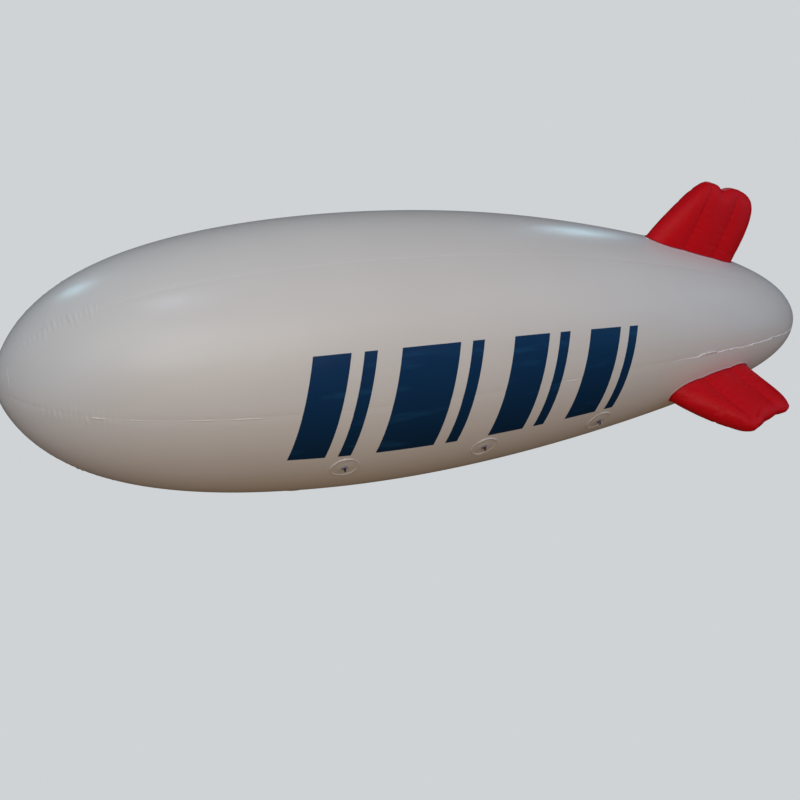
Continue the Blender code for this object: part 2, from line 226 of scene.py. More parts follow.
def hull_slope(share):
    """How fast the radius grows along the length: its change over a short step."""
    low = np.clip(share - SLOPE_STEP, HULL_END, None)
    high = np.clip(share + SLOPE_STEP, None, 1 - HULL_END)
    return (hull_radius(high) - hull_radius(low)) / ((high - low) * HULL_LENGTH)


def hull_surface(share, angle, lift=0.0):
    """Points at shares of the length and angles in degrees, lifted along the hull's normal.

    Each is on a circle round the drooping axis; angle 0 is the left side and 90 the top."""
    share, angle = np.asarray(share, float), np.radians(np.asarray(angle, float))
    slope = hull_slope(share)
    size = np.hypot(slope, 1)
    out = hull_radius(share) + lift / size
    along = share * HULL_LENGTH - lift * slope / size
    return np.stack(np.broadcast_arrays(
        along - LIFT_FROM_NOSE,
        -np.cos(angle) * out,
        axis_height(along / HULL_LENGTH) + np.sin(angle) * out), axis=-1)


def pucker_table(seam):
    """Random puckers along one seam: run, side step, half length, height and slant of each."""
    rng = np.random.default_rng(PUCKER_SEED + seam)
    rows = []
    for low, high, tallest in PUCKERS:
        count = round((high - low) * HULL_LENGTH / PUCKER_PITCH)
        for i in range(count):
            along = (i + 0.5 + rng.uniform(-PUCKER_SHIFT, PUCKER_SHIFT)) / count
            height = tallest * math.sin(math.pi * along) * rng.uniform(*PUCKER_HEIGHTS)
            rows.append(((low + (high - low) * along) * HULL_LENGTH,
                         rng.uniform(-PUCKER_ASIDE, PUCKER_ASIDE),
                         PUCKER_HALF_LENGTH * rng.uniform(*PUCKER_LENGTHS), height,
                         rng.uniform(-PUCKER_SLANT, PUCKER_SLANT)))
    return rows


def seam_puckers(seam, run, off):
    """Sum of small ridges across a seam, each a bell curve both ways, as gathered film has."""
    total = np.zeros_like(run)
    for at, side, half_length, height, slant in pucker_table(seam):
        near = np.abs(run - at) < PUCKER_REACH
        along = (run[near] - at - slant * off[near]) / PUCKER_HALF_WIDTH
        away = (off[near] - side) / half_length
        total[near] += height * np.exp(-along ** 2 - away ** 2)
    return total


def hull_relief(share, angle):
    """The film's own relief: a valley along each weld, and puckers beside it near both ends."""
    share, angle = np.broadcast_arrays(np.asarray(share, float), np.asarray(angle, float))
    seam = np.round(angle / GORE_ANGLE).astype(int)
    off = hull_radius(share) * np.radians(angle - seam * GORE_ANGLE)
    relief = -VALLEY_DEPTH * np.exp(-(off / VALLEY_WIDTH) ** 2)
    for one in np.unique(seam):
        here = seam == one
        relief[here] += seam_puckers(one % len(GORES), share[here] * HULL_LENGTH, off[here])
    return relief


def new_piece(name, mesh, finish, slot, *nodes):
    """Link a finished mesh, give it its material, and let it stand for its CAD nodes."""
    piece = bpy.data.objects.new(name, mesh)
    bpy.context.scene.collection.objects.link(piece)
    mesh.materials.append(finish.material)
    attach(piece, "root")
    if nodes:
        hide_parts(*nodes)
    return piece


def fan_volume(points, faces):
    """Six times the volume under a group of faces, each cut into a fan of triangles."""
    first = points[faces[:, 0]]
    return sum(
        np.einsum("ij,ij->", first, np.cross(points[faces[:, i]], points[faces[:, i + 1]]))
        for i in range(1, faces.shape[1] - 1))


def mesh_of(name, points, *groups):
    """A closed mesh from points and groups of faces, turned so that its volume is positive."""
    points = np.asarray(points, float)
    groups = [np.asarray(group, int) for group in groups if len(group)]
    centred = points - points.mean(axis=0)
    if sum(fan_volume(centred, group) for group in groups) < 0:
        groups = [group[:, ::-1] for group in groups]
    faces = [face for group in groups for face in group.tolist()]
    mesh = bpy.data.meshes.new(name)
    mesh.from_pydata(points.tolist(), [], faces)
    mesh.shade_smooth()
    mesh.set_sharp_from_angle(angle=SMOOTH_ANGLE)
    return mesh


def quads(a, b, c, d):
    """Faces between four grids of point numbers."""
    return np.stack([a, b, c, d], axis=-1).reshape(-1, 4)


def sheet_mesh(name, top, bottom):
    """A closed sheet: two grids of points of one size, joined along their four edges."""
    rows, columns = top.shape[:2]
    index = np.arange(rows * columns).reshape(rows, columns)
    under = index + rows * columns
    edge = np.concatenate([index[0, :-1], index[:-1, -1], index[-1, :0:-1], index[:0:-1, 0]])
    following = np.roll(edge, -1)
    points = np.concatenate([top.reshape(-1, 3), bottom.reshape(-1, 3)])
    return mesh_of(
        name, points,
        quads(index[:-1, :-1], index[1:, :-1], index[1:, 1:], index[:-1, 1:]),
        quads(under[:-1, :-1], under[:-1, 1:], under[1:, 1:], under[1:, :-1]),
        quads(edge, following, following + rows * columns, edge + rows * columns))


class Wire:
    """A shader socket for arithmetic: each operation on it adds one Math node."""

    def __init__(self, finish, socket):
        self.finish = finish
        self.socket = socket

    def math(self, operation, *values):
        return self.finish.node("ShaderNodeMath", {"operation": operation}, dict(enumerate(values)))

    def __add__(self, other):
        return self.math("ADD", self, other)

    def __mul__(self, other):
        return self.math("MULTIPLY", self, other)

    __radd__ = __add__
    __rmul__ = __mul__


class Finish:
    """A material whose nodes are made in Python, round one Principled shader."""

    def __init__(self, name, colour, roughness):
        self.material = bpy.data.materials.new(name)
        self.material.use_nodes = True
        self.shader = self.material.node_tree.nodes["Principled BSDF"]
        self.set("Base Color", (*colour, 1))
        self.set("Roughness", roughness)

    def set(self, socket, value):
        """Give one socket of the Principled shader its value."""
        self.feed(self.shader.inputs[socket], value)

    def feed(self, socket, value):
        """Link a Wire to a socket, or set the socket's own value."""
        if isinstance(value, Wire):
            self.material.node_tree.links.new(value.socket, socket)
        else:
            socket.default_value = value

    def node(self, kind, settings=None, sockets=None, output=0):
        """Add a node with its settings and sockets, and return one of its outputs."""
        made = self.material.node_tree.nodes.new(kind)
        for key, value in (settings or {}).items():
            setattr(made, key, value)
        for key, value in (sockets or {}).items():
            self.feed(made.inputs[key], value)
        return Wire(self, made.outputs[output])

    def place(self, *scale):
        """Object coordinates, stretched by a scale for each axis."""
        here = self.node("ShaderNodeTexCoord", output="Object")
        if not scale:
            return here
        return self.node("ShaderNodeMapping", {}, {"Vector": here, "Scale": scale})

    def coordinate(self, axis):
        """One Object coordinate: X along the hull, Y across it, Z upwards."""
        return self.node("ShaderNodeSeparateXYZ", {}, {"Vector": self.place()}, output=axis)

    def noise(self, scale, detail=3.0, vector=None):
        """Smooth random values on Object coordinates: so many spots to the metre."""
        return self.node("ShaderNodeTexNoise", {}, {
            "Vector": vector or self.place(), "Scale": scale, "Detail": detail})

    def ramp(self, value, low, high, first=0.0, last=1.0):
        """A value brought from one range into another, and kept there."""
        return self.node("ShaderNodeMapRange", {"clamp": True}, {
            "Value": value, "From Min": low, "From Max": high, "To Min": first, "To Max": last})

    def mix(self, factor, first, second):
        """Two colours blended by a factor from 0 to 1."""
        colours = [(*c, 1) if isinstance(c, tuple) else c for c in (first, second)]
        return self.node("ShaderNodeMix", {"data_type": "RGBA"}, {
            0: factor, MIX_FIRST: colours[0], MIX_SECOND: colours[1]}, output=MIX_RESULT)

    def bump(self, height, distance, strength):
        """Fine relief in the shading, from a height and its size in metres."""
        self.set("Normal", self.node("ShaderNodeBump", {}, {
            "Height": height, "Distance": distance, "Strength": strength}))


hull_finish = Finish("hull_film", FILM_COLOUR, roughness=0.36)
hull_finish.set("Base Color", hull_finish.mix(
    hull_finish.noise(scale=1.6, detail=2.0), *FILM_TONES))
hull_finish.set("Roughness", 0.275 + 0.07 * hull_finish.noise(scale=9.0))
hull_finish.bump(hull_finish.noise(scale=7.0, detail=4.0, vector=hull_finish.place(0.5, 1, 1)),
                 distance=0.004, strength=0.25)


def hull_rows(margin, stops, counts):
    """Shares of the length in three even runs, which are closest near nose and tail."""
    ends = (CAP_EDGES[0] + margin, *stops, CAP_EDGES[1] - margin)
    nose, middle, tail = (
        np.linspace(low, high, count) for low, high, count in zip(ends, ends[1:], counts))
    return np.concatenate([nose, middle[1:-1], tail])


def gore_columns(first_seam):
    """Angles across a gore, close together beside both seams: a power of even steps."""
    half = np.linspace(0, 1, GORE_COLUMN_COUNT) ** GORE_COLUMN_CROWDING * GORE_ANGLE / 2
    return first_seam + np.concatenate([half, GORE_ANGLE - half[-2::-1]])


# A gore's grid follows the relief outside and is plain inside, and is drawn in by half the gap
# along both seams.
for node, first_seam in GORES:
    share, angle = np.meshgrid(hull_rows(0.0, GORE_ROW_STOPS, GORE_ROW_COUNTS),
                               gore_columns(first_seam), indexing="ij")
    relief = hull_relief(share, angle)
    inset = np.degrees(SEAM_GAP / 2 / hull_radius(share))
    middle = first_seam + GORE_ANGLE / 2
    drawn = middle + (angle - middle) * (1 - inset / (GORE_ANGLE / 2))
    gore = sheet_mesh(node, hull_surface(share, drawn, relief), hull_surface(share, drawn, -FILM))
    new_piece("film_" + node, gore, hull_finish, "hull_film", node)

# End caps: a round patch of the same film over the gore tips at the nose and at the tail,
# lapped on the gores and welded round its edge.
CAP_LAP, CAP_FILM = 0.006, 0.0005
CAP_COLUMNS, CAP_RINGS, CAP_FIRST_RING = 144, 26, 0.06
CAP_GATHER, CAP_POLE = 0.0012, 0.02


def ring_mesh(name, rings, closed=True):
    """A closed mesh through rings of equal count: a tube whose ends meet, or one with two poles."""
    rows, count = rings.shape[:2]
    index = np.arange(rows * count).reshape(rows, count)
    if closed:
        after = np.roll(index, -1, axis=0)
        body = quads(index, np.roll(index, -1, axis=1), np.roll(after, -1, axis=1), after)
        return mesh_of(name, rings.reshape(-1, 3), body)
    body = quads(index[:-1], np.roll(index[:-1], -1, axis=1),
                 np.roll(index[1:], -1, axis=1), index[1:])
    poles = rows * count + np.arange(2)
    points = np.concatenate([rings.reshape(-1, 3), [rings[0].mean(axis=0), rings[-1].mean(axis=0)]])
    first = np.stack([np.roll(index[0], -1), index[0], np.full(count, poles[0])], axis=-1)
    last = np.stack([index[-1], np.roll(index[-1], -1), np.full(count, poles[1])], axis=-1)
    return mesh_of(name, points, body, first, last)


# The cap's film dips over the seams and rises between them, as a sine that grows outwards.
for node, edge, tip in (("nose_cap", CAP_EDGES[0], 0.0), ("tail_cap", CAP_EDGES[1], 1.0)):
    lap = edge + (edge - tip) / abs(edge - tip) * CAP_LAP / HULL_LENGTH
    step = np.linspace(CAP_FIRST_RING, 1, CAP_RINGS)
    share = tip + (lap - tip) * step ** 2
    angle = np.arange(CAP_COLUMNS) * 360 / CAP_COLUMNS
    rows, columns = np.meshgrid(share, angle, indexing="ij")
    gather = np.sin(np.radians(columns) * len(GORES) - np.pi / 2) * CAP_GATHER * step[:, None] ** 2
    outer = hull_surface(rows, columns, CAP_FILM + gather)
    inner = hull_surface(rows, columns, gather - FILM)
    for skin in (outer, inner):
        skin[0] = skin[0].mean(axis=0) + (skin[0] - skin[0].mean(axis=0)) * CAP_POLE
    cap = ring_mesh(node, np.concatenate([inner, outer[::-1]]), closed=False)
    new_piece("film_" + node, cap, hull_finish, "hull_film", node)

# Seam welds: the pressed strip over each joint of two gores. It lies flat along the middle of
# the hull, and stands up as a thin wavy ridge towards the nose and the tail.
WELD_HALF, WELD_HEIGHT, WELD_EDGE = 0.0045, 0.0005, 0.6
WELD_MARGIN, WELD_ROW_STOPS, WELD_ROW_COUNTS = 0.0008, (0.14, 0.78), (240, 260, 320)
RIDGE_HEIGHT, RIDGE_HALF, RIDGE_WAVE = 0.0052, 0.0012, 0.0105
RIDGES = (1.0, 0.12, 0.12, 1.0, 0.3, 0.3)  # how much of it each seam has
RIDGE_ENDS, RIDGE_GROWTH, NOSE_RIDGE = (0.020, 0.745), (0.01, 0.05), 0.3
RIDGE_MEAN, RIDGE_SWING, RIDGE_RATE = 0.62, 0.75, 1.1
FLICK_SEED, FLICK_RATE, FLICK_FROM, FLICK_GROWTH = 60, 0.8, 0.45, 3
SWAY_SEED, SWAY_RATE, FOOT_SWAY, PROUD_LEAN = 145, 1.1, 0.4, 2.0
WELD_PROFILE = (  # place across the strip, share of its height
    (-WELD_HALF, 0.0), (-RIDGE_HALF, 0.6), (0.0, 1.0), (RIDGE_HALF, 0.6), (WELD_HALF, 0.0),
)
WAVES = ((1.7, 0.35), (4.3, 0.30), (9.7, 0.20), (23.0, 0.15))  # rate and share of each sine
# The second tone is a painted highlight: the glint along the ridge of the side seams towards the
# tail.
WELD_TONE, WELD_PAINTED_GLINT_TONE = (0.745, 0.74, 0.73), (0.93, 0.91, 0.93)
PROUD = (  # seam, distance from nose, half length and height of a short place that stands proud
    (0, 0.447, 0.026, 0.0040), (0, 0.610, 0.040, 0.0012), (0, 0.910, 0.070, 0.0016),
    (0, 1.140, 0.075, 0.0020), (0, 2.983, 0.038, 0.0025), (0, 4.010, 0.075, 0.0040),
    (1, 3.470, 0.026, 0.0040), (2, 1.180, 0.030, 0.0030), (3, 0.620, 0.030, 0.0040),
    (4, 2.240, 0.035, 0.0030), (5, 1.500, 0.030, 0.0030),
)
weld_finish = Finish("weld_film", FILM_COLOUR, roughness=0.30)
# Painted highlight: on the two side seams the weld turns near white past 1.42 m towards the tail,
# where its ridge glints.
weld_up = weld_finish.coordinate("Z")
weld_painted_glint = weld_finish.ramp(weld_finish.coordinate("X"), 1.42, 1.60) * weld_finish.ramp(
    weld_up * weld_up, 0.030, 0.012)
weld_finish.set("Base Color", weld_finish.mix(weld_painted_glint, WELD_TONE, WELD_PAINTED_GLINT_TONE))
weld_finish.bump(weld_finish.noise(scale=420.0, detail=2.0), distance=0.0006, strength=0.5)


def wander(run, seed):
    """A smooth random wave between about -1 and 1: four sines whose lengths have no common one."""
    rng = np.random.default_rng(seed)
    return sum(part * np.sin(2 * np.pi * rate * run + rng.uniform(0, 2 * np.pi))
               for rate, part in WAVES)


def ridge_share(share):
    """1 towards the tail, NOSE_RIDGE at the nose and 0 between, with straight ramps."""
    nose = np.clip((RIDGE_ENDS[0] - share) / RIDGE_GROWTH[0], 0, 1)
    tail = np.clip((share - RIDGE_ENDS[1]) / RIDGE_GROWTH[1], 0, 1)
    return np.maximum(NOSE_RIDGE * nose, tail)


def weld_proud(run, seam):
    """Height of a seam's proud places, each a flat-topped bell curve along it."""
    return sum(height * np.exp(-((run - at) / half) ** 4)
               for here, at, half, height in PROUD if here == seam)


def weld_lift(share, seam):
    """Height of the weld strip's middle over the film: its own, the ridge's and the proud ones.

    Random waves make its own height flick up in places, and the ridge rise and fall."""
    run = share * HULL_LENGTH
    up = RIDGES[seam] * ridge_share(share) * (
        RIDGE_MEAN + RIDGE_SWING * wander(run * RIDGE_RATE, seam))
    flick = np.clip(wander(run * FLICK_RATE, FLICK_SEED + seam) - FLICK_FROM, 0, 1)
    return (WELD_HEIGHT * (1 + FLICK_GROWTH * flick) + RIDGE_HEIGHT * np.clip(up, 0, 1)
            + weld_proud(run, seam))


# The profile is carried along each seam, and sways more the higher it stands.
for seam in range(len(GORES)):
    share = hull_rows(WELD_MARGIN, WELD_ROW_STOPS, WELD_ROW_COUNTS)
    run = share * HULL_LENGTH
    up = weld_lift(share, seam)
    upwards = PROUD_LEAN * math.cos(math.radians(seam * GORE_ANGLE)) * weld_proud(run, seam)
    sway = ridge_share(share) * (
        upwards + RIDGE_WAVE * RIDGES[seam] * wander(run * SWAY_RATE, SWAY_SEED + seam))
    edge = WELD_HEIGHT * WELD_EDGE
    offsets = np.stack(
        [place + sway * (FOOT_SWAY + (1 - FOOT_SWAY) * high) for place, high in WELD_PROFILE], -1)
    lifts = np.stack([edge + (up - edge) * high for _, high in WELD_PROFILE], -1)
    angle = seam * GORE_ANGLE + np.degrees(offsets / hull_radius(share)[:, None])
    rows = np.repeat(share[:, None], len(WELD_PROFILE), axis=1)
    base = hull_relief(rows, angle)
    weld = sheet_mesh(f"weld_{seam}", hull_surface(rows, angle, base + lifts),
                      hull_surface(rows, angle, base - FILM / 2))
    new_piece(f"seam_weld_{seam + 1}", weld, weld_finish, "hull_film")

# Fins: three inflated chambers each, of coated red cloth, side by side between welded walls.
# The chambers pinch in along the walls and gather in short folds there and round the tip.
FINS = (  # name, angle round the hull, sideways lean of its tip, pull of its rear seam, notch
    ("fin_top", 90.0, 0.0, 0.0, 0.045),
    ("fin_right", 209.2, -0.097, 0.052, 0.012),
    ("fin_left", 330.8, 0.097, 0.052, 0.012),
)
LEAN_STARTS, LEAN_CURVE = 0.17, 1.4
FIN_RAILS = np.array((  # distance from nose and from axis at the root, then at the tip
    (3.765, 0.500, 4.125, 0.920),
    (4.000, 0.440, 4.205, 0.905),
    (4.225, 0.380, 4.415, 0.860),
    (4.420, 0.330, 4.615, 0.785),
))
FIN_LOBES = ("front_lobe", "middle_lobe", "rear_lobe")
FRONT, MIDDLE, REAR = range(len(FIN_LOBES))
LOBE_WIDTH, FIN_HEIGHT, FIN_HALF_THICKNESS = 0.22, 0.42, 0.104
FIN_TIP_THINNING, FIN_CREASE, CREASE_CURVE, NOTCH_HALF = 0.18, 0.10, 2.6, 0.16
FIN_EDGE_ROUND, FIN_CORNER_ROUND, FIN_TIP_ROUND = 2.2, 3.4, 3.0
FIN_EDGE_CUT = 0.0015
PINCH_DEPTH, PINCH_WIDTH = 0.0005, 0.010
FOLD_HEIGHT, FOLD_REACH, FOLD_PITCH = 0.0008, 0.035, 0.034
TIP_FOLD_HEIGHT, TIP_FOLD_REACH, TIP_FOLD_PITCH = 0.0080, 0.050, 0.062
CLOTH_WAVES = {  # height, rate and seed of the random waves in the folds
    "fold_drift": (2.6, 2.0, 0), "fold_strength": (0.8, 1.2, 7),
    "tip_drift": (2.2, 0.5, 20), "tip_strength": (0.9, 0.7, 30), "swell": (0.0022, 1.0, 40),
}
FOLD_MEAN, TIP_FOLD_MEAN, TIP_FOLD_LEAST, TIP_FOLD_POWER = 0.5, 0.4, 0.1, 8
SWELL_RATES, FOLD_FADE = (0.8, 0.5), 0.03
FIN_SEED, LOBE_SEED, FAR_SEED = 300, 90, 50
LOBE_COLUMNS, LOBE_STEPS, STEP_CROWDING, ROOT_PASSES = 56, 80, 1.9, 8
CLOTH_FRAMES, CLOTH_QUALITY, CLOTH_MASS, CLOTH_DAMPING = 20, 5, 0.15, 20.0
CLOTH_STIFFNESS, CLOTH_BENDING, CLOTH_SPARE, CLOTH_PRESSURE = 40.0, 0.5, 0.006, 4.0
CLOTH_SHEAR = CLOTH_STIFFNESS / 3
FOLD_LIMIT, TINY_MOVE = 0.008, 1e-9
CREASES = (  # short creases near the tip: from nose and from the axis, at one end and the other
    (4.046, 0.738, 4.020, 0.772),
    (4.086, 0.828, 4.096, 0.850),
    (4.264, 0.786, 4.226, 0.840),
)
CREASE_SHIFTS = {  # how far back they lie on a fin's two faces, where it has any
    "fin_top": (0.012,), "fin_right": (-0.010, 0.006), "fin_left": (0.0, 0.014),
}
CREASE_DEPTH, CREASE_WIDTH = 0.0085, 0.0064
CLOTH_COLOUR = (0.64, 0.002, 0.008)
CLOTH_TONES = ((0.60, 0.0015, 0.007), (0.68, 0.0025, 0.010))


def edge_share(lobe, across):
    """How far a place across an outer lobe is from the fin's own edge, from 0 to 1."""
    return across if lobe == FRONT else 1 - across


def fin_half_thickness(lobe, across):
    """Half the fin's thickness at shares of the way across a lobe.

    It is full at the lobe's middle, loses FIN_CREASE towards the inner walls as a power of the
    way there, and closes at the fin's own edge as a superellipse."""
    if lobe == MIDDLE:
        return FIN_HALF_THICKNESS * (1 - FIN_CREASE * np.abs(2 * across - 1) ** CREASE_CURVE)
    edge = edge_share(lobe, across)
    rounded = (1 - (1 - edge) ** FIN_EDGE_ROUND) ** (1 / FIN_EDGE_ROUND)
    return FIN_HALF_THICKNESS * rounded * (1 - FIN_CREASE * edge ** CREASE_CURVE)


def fin_reach(lobe, across, notch):
    """How far along its rails a lobe reaches before its tip, from 0 to 1.

    The notch is a bell curve in the middle lobe, and a superellipse rounds the outer corners."""
    if lobe == MIDDLE:
        return 1 - notch * np.exp(-((across - 0.5) / NOTCH_HALF) ** 2)
    return (1 - (1 - edge_share(lobe, across)) ** FIN_CORNER_ROUND) ** (1 / FIN_CORNER_ROUND)


def fin_rails(pull):
    """A fin's four rails, with the tip of its rear seam pulled in towards the hull."""
    rails = FIN_RAILS.copy()
    rails[2, 3] -= pull
    return rails


def fin_place(rails, lobe, across, share, notch=0.0):
    """Distance from nose, height over the axis and half thickness, for arrays of places.

    The place lies between a lobe's two straight rails. The thickness falls evenly along them,
    and closes round the tip as a superellipse."""
    front, rear = rails[lobe], rails[lobe + 1]
    rail = [f + (r - f) * across for f, r in zip(front, rear)]
    from_nose = rail[0] + (rail[2] - rail[0]) * share
    height = rail[1] + (rail[3] - rail[1]) * share
    step = np.clip(share / fin_reach(lobe, across, notch), 0, 1)
    rounded = (1 - step ** FIN_TIP_ROUND) ** (1 / FIN_TIP_ROUND)
    half = fin_half_thickness(lobe, across) * (1 - FIN_TIP_THINNING * share) * rounded
    return from_nose, height, half


def root_share(rails, lobe, across):
    """Where along its rails a lobe meets the hull: each pass adds the height still missing."""
    share = np.zeros_like(across)
    rise = rails[lobe:lobe + 2, 3] - rails[lobe:lobe + 2, 1]
    rise = rise[0] + (rise[1] - rise[0]) * across
    for _ in range(ROOT_PASSES):
        from_nose, height, half = fin_place(rails, lobe, across, share)
        surface = np.sqrt(hull_radius(from_nose / HULL_LENGTH) ** 2 - half ** 2)
        share = share + (surface - height) / rise
    return share


def cloth_wave(name, run, seed):
    """One of the cloth's random waves: its height times a wandering sine."""
    height, rate, number = CLOTH_WAVES[name]
    return height * wander(run * rate, seed + number)


def fin_folds(lobe, across, step, share, seed):
    """Cloth relief on one face of a lobe: pinched walls, folds beside them and round the tip.

    Folds are sines of uneven phase and strength, which fade as bell curves or powers."""
    length = FIN_HEIGHT * (share - share[:, :1])
    walls = {FRONT: (1.0,), MIDDLE: (0.0, 1.0), REAR: (0.0,)}[lobe]
    relief = np.zeros_like(share)
    for number, wall in enumerate(walls):
        off = np.abs(across - wall) * LOBE_WIDTH
        phase = 2 * np.pi * length / FOLD_PITCH + cloth_wave("fold_drift", length, seed + number)
        strength = np.clip(FOLD_MEAN + cloth_wave("fold_strength", length, seed + number), 0, 1)
        relief -= PINCH_DEPTH * np.exp(-(off / PINCH_WIDTH) ** 2)
        relief += FOLD_HEIGHT * strength * np.sin(phase) * np.exp(-off / FOLD_REACH)
    to_tip = (1 - step) * FIN_HEIGHT
    phase = (2 * np.pi * across * LOBE_WIDTH / TIP_FOLD_PITCH
             + cloth_wave("tip_drift", across, seed))
    tip = np.clip(TIP_FOLD_MEAN + cloth_wave("tip_strength", across, seed), TIP_FOLD_LEAST, 1)
    crease = np.clip(np.sin(phase), 0, 1) ** TIP_FOLD_POWER
    relief -= TIP_FOLD_HEIGHT * tip * crease * np.exp(-(to_tip / TIP_FOLD_REACH) ** 2)
    relief += cloth_wave("swell", length * SWELL_RATES[0] + across * SWELL_RATES[1], seed)
    return relief


def fin_faces(rails, lobe, notch, seed):
    """Places of a lobe's grid: from nose, height, and its two sides' distance from the middle."""
    across = (1 - np.cos(np.linspace(0, np.pi, LOBE_COLUMNS))) / 2
    if lobe != MIDDLE:
        edge = FIN_EDGE_CUT + (1 - FIN_EDGE_CUT) * across
        across = edge if lobe == FRONT else 1 - edge[::-1]
    root = root_share(rails, lobe, across)
    reach = fin_reach(lobe, across, notch)
    step = 1 - (1 - np.linspace(0, 1, LOBE_STEPS)) ** STEP_CROWDING
    share = root[:, None] + (reach - root)[:, None] * step[None, :]
    columns = np.repeat(across[:, None], LOBE_STEPS, axis=1)
    from_nose, height, half = fin_place(rails, lobe, columns, share, notch)
    hold = np.clip(half / FOLD_FADE, 0, 1)
    steps = np.repeat(step[None, :], len(across), axis=0)
    sides = [half + hold * fin_folds(lobe, columns, steps, share, seed + FAR_SEED * side)
             for side in range(2)]
    return from_nose, height, share, sides


def fin_axes(angle):
    """Directions out of the hull and square to a fin, at an angle round the hull."""
    turn = math.radians(angle)
    return (np.array((0, -math.cos(turn), math.sin(turn))),
            np.array((0, math.sin(turn), math.cos(turn))))


def fin_points(angle, lean, from_nose, height, share, side):
    """Points of a fin, at a distance from its middle sheet, which leans towards its tip."""
    out, normal = fin_axes(angle)
    leaning = (np.clip(share - LEAN_STARTS, 0, None) / (1 - LEAN_STARTS)) ** LEAN_CURVE
    points = height[..., None] * out + (lean * leaning + side)[..., None] * normal
    points[..., 0] += from_nose - LIFT_FROM_NOSE
    points[..., 2] += axis_height(from_nose / HULL_LENGTH)
    return points


def lobe_mesh(name, rails, angle, lean, lobe, notch, seed):
    """A lobe as one closed skin: up its near side, over the tip and down its far side.

    Its second value is the numbers of the points held by walls, edge and foot."""
    from_nose, height, share, sides = fin_faces(rails, lobe, notch, seed)
    near = fin_points(angle, lean, from_nose, height, share, sides[0])
    far = fin_points(angle, lean, from_nose, height, share, -sides[1])
    rings = np.concatenate([near, far[:, -2::-1]], axis=1)
    rows, count = rings.shape[:2]
    index = np.arange(rows * count).reshape(rows, count)
    after = np.roll(index, -1, axis=1)
    body = quads(index[:-1], after[:-1], after[1:], index[1:])
    up = np.arange(LOBE_STEPS - 1)
    down = count - 1 - up
    ends = []
    held = np.zeros(rings.shape[:2], bool)
    held[:, [0, -1]] = True
    held[[0, -1]] = True
    for row, turn in ((index[0], 1), (index[-1], -1)):
        strip = quads(row[up[:-1]], row[up[1:]], row[down[1:]], row[down[:-1]])
        ends.append(strip[:, ::turn])
        point = np.array([[row[up[-1]], row[LOBE_STEPS - 1], row[down[-1]]]])
        ends.append(point[:, ::turn])
    return mesh_of(name, rings.reshape(-1, 3), body, *ends), np.flatnonzero(held)


def blow_up(pieces):
    """Cloth simulation of the lobes at once: held along walls and foot, pressed from inside.

    The cloth's own size is a little over its drawn one, so it gathers in folds beside the
    walls. No point moves further than FOLD_LIMIT, and the result stays in the mesh."""
    scene = bpy.context.scene
    for piece, held in pieces:
        piece.vertex_groups.new(name="held").add(held.tolist(), 1.0, "REPLACE")
        cloth = piece.modifiers.new("cloth", "CLOTH")
        cloth.settings.quality = CLOTH_QUALITY
        cloth.settings.mass = CLOTH_MASS
        cloth.settings.tension_stiffness = cloth.settings.compression_stiffness = CLOTH_STIFFNESS
        cloth.settings.shear_stiffness = CLOTH_SHEAR
        cloth.settings.bending_stiffness = CLOTH_BENDING
        cloth.settings.tension_damping = cloth.settings.compression_damping = CLOTH_DAMPING
        cloth.settings.vertex_group_mass = "held"
        cloth.settings.shrink_min = cloth.settings.shrink_max = -CLOTH_SPARE
        cloth.settings.use_pressure = True
        cloth.settings.uniform_pressure_force = CLOTH_PRESSURE
        cloth.settings.effector_weights.gravity = 0
        cloth.collision_settings.use_collision = False
        cloth.point_cache.frame_start, cloth.point_cache.frame_end = 1, CLOTH_FRAMES
    for step in range(1, CLOTH_FRAMES + 1):
        scene.frame_set(step)
    graph = bpy.context.evaluated_depsgraph_get()
    results = []
    for piece, _ in pieces:
        before, after = (np.empty(3 * len(piece.data.vertices)) for _ in range(2))
        piece.data.vertices.foreach_get("co", before)
        piece.evaluated_get(graph).data.vertices.foreach_get("co", after)
        move = (after - before).reshape(-1, 3)
        length = np.linalg.norm(move, axis=1, keepdims=True)
        move *= np.minimum(1, FOLD_LIMIT / np.maximum(length, TINY_MOVE))
        results.append(before + move.ravel())
    for (piece, _), points in zip(pieces, results):
        piece.modifiers.clear()
        piece.vertex_groups.clear()
        piece.data.vertices.foreach_set("co", points)
        piece.data.update()
    scene.frame_set(1)


def press_creases(piece, angle, shifts):
    """Press the creases into a lobe's faces: each falls off as a bell curve from its line."""
    out, normal = fin_axes(angle)
    points = np.empty(3 * len(piece.data.vertices))
    piece.data.vertices.foreach_get("co", points)
    points = points.reshape(-1, 3)
    from_nose = points[:, 0] + LIFT_FROM_NOSE
    height = points @ out - axis_height(from_nose / HULL_LENGTH) * out[2]
    near_side = np.arange(len(points)) % (2 * LOBE_STEPS - 1) < LOBE_STEPS
    for shift, face, side in zip(shifts, (1, -1), (near_side, ~near_side)):
        for start, low, end, high in CREASES:
            along, up = from_nose - start - shift, height - low
            run, rise = end - start, high - low
            share = np.clip((along * run + up * rise) / (run ** 2 + rise ** 2), 0, 1)
            away = np.hypot(along - share * run, up - share * rise)
            depth = CREASE_DEPTH * np.exp(-(away / CREASE_WIDTH) ** 2) * side
            points -= face * depth[:, None] * normal
    piece.data.vertices.foreach_set("co", points.ravel())
    piece.data.update()


cloth_finish = Finish("fin_cloth", CLOTH_COLOUR, roughness=0.42)
cloth_finish.set("Specular IOR Level", 0.16)
cloth_finish.set("Base Color", cloth_finish.mix(cloth_finish.noise(scale=5.0), *CLOTH_TONES))
cloth_finish.set("Roughness", 0.38 + 0.12 * cloth_finish.noise(scale=14.0))
weave = cloth_finish.noise(scale=900.0, detail=1.0, vector=cloth_finish.place(1, 0.5, 0.5))
cloth_finish.bump(weave + 2.5 * cloth_finish.noise(scale=38.0), distance=0.0012, strength=0.30)

